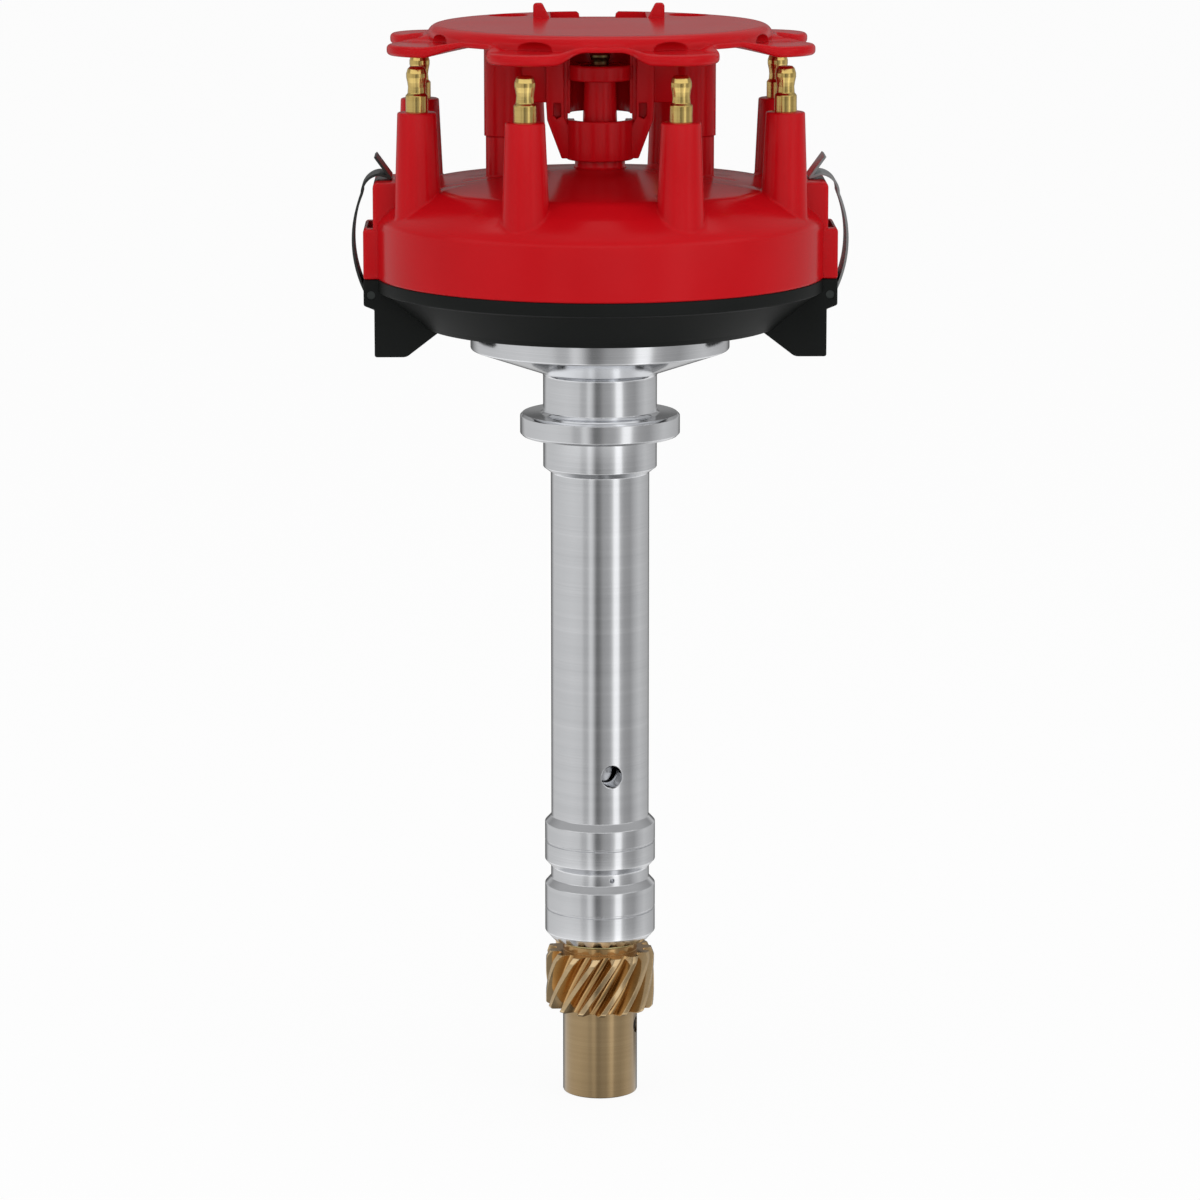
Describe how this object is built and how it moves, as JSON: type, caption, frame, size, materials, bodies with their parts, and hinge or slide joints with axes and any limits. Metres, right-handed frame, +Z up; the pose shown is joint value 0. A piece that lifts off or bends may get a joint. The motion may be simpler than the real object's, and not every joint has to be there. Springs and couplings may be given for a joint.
{
  "type": "ignition distributor",
  "caption": "Engine ignition distributor: large clipped cap with plug towers and wire retainer on a turned housing, with a shaft-driven rotor and a helical drive gear.",
  "frame": {"origin": "on the shaft axis at the underside of the mounting collar, where the neck enters the engine", "axes": "+Z up the shaft axis towards the cap, -Y to the front between two plug towers, +X to the right-hand latch"},
  "size_m": [0.1408, 0.1282, 0.3165],
  "materials": {
    "aluminium": "turned",
    "bronze_bush": "machined",
    "bearing_steel": "ground",
    "seal_rubber": "matt",
    "spring_steel": "bright",
    "shaft_steel": "ground",
    "gear_bronze": "machined",
    "base_black": "matt moulded",
    "cap_red": "satin moulded",
    "retainer_red": "satin moulded",
    "terminal_brass": "polished",
    "carbon": "matt",
    "rotor_red": "satin moulded",
    "screw_steel": "zinc plated",
    "washer_brass": "plain",
    "rotor_aluminium": "machined"
  },
  "bodies": {
    "distributor": {"housing_body": "aluminium", "lower_bushing": "bronze_bush", "upper_bearing_outer_race": "bearing_steel", "bearing_seals": "seal_rubber", "bearing_retaining_ring": "spring_steel", "gear_thrust_washer": "washer_brass", "base_bowl": "base_black", "base_screws": "screw_steel", "distributor_cap": "cap_red", "plug_terminals": "terminal_brass", "coil_terminal": "terminal_brass", "brush_spring": "spring_steel", "wire_retainer": "retainer_red", "latch_pin_left": "screw_steel", "latch_pin_right": "screw_steel"},
    "rotor": {"shaft": "shaft_steel", "upper_bearing_inner_race": "bearing_steel", "drive_gear": "gear_bronze", "gear_roll_pin": "spring_steel", "rotor_hub": "rotor_aluminium", "rotor_body": "rotor_red", "rotor_blade": "terminal_brass", "rotor_screws": "screw_steel"},
    "latch_left": {"latch_clip_left": "spring_steel"},
    "latch_right": {"latch_clip_right": "spring_steel"},
    "brush": {"carbon_brush": "carbon"}
  },
  "joints": [
    {"name": "shaft_spin", "type": "hinge", "parent": "distributor", "child": "rotor", "pos_m": [0, 0, 0], "axis": [0, 0, 1], "continuous": true},
    {"name": "latch_left_swing", "type": "hinge", "parent": "distributor", "child": "latch_left", "pos_m": [-0.0649, 0, 0.0418], "axis": [0, -1, 0], "range_deg": [0, 75]},
    {"name": "latch_right_swing", "type": "hinge", "parent": "distributor", "child": "latch_right", "pos_m": [0.0649, 0, 0.0418], "axis": [0, 1, 0], "range_deg": [0, 75]},
    {"name": "brush_travel", "type": "slide", "parent": "distributor", "child": "brush", "axis": [0, 0, 1], "range_m": [0, 0.0015], "stiffness_N_per_m": 150, "springref_m": -0.006, "deforming": ["brush_spring"]}
  ]
}
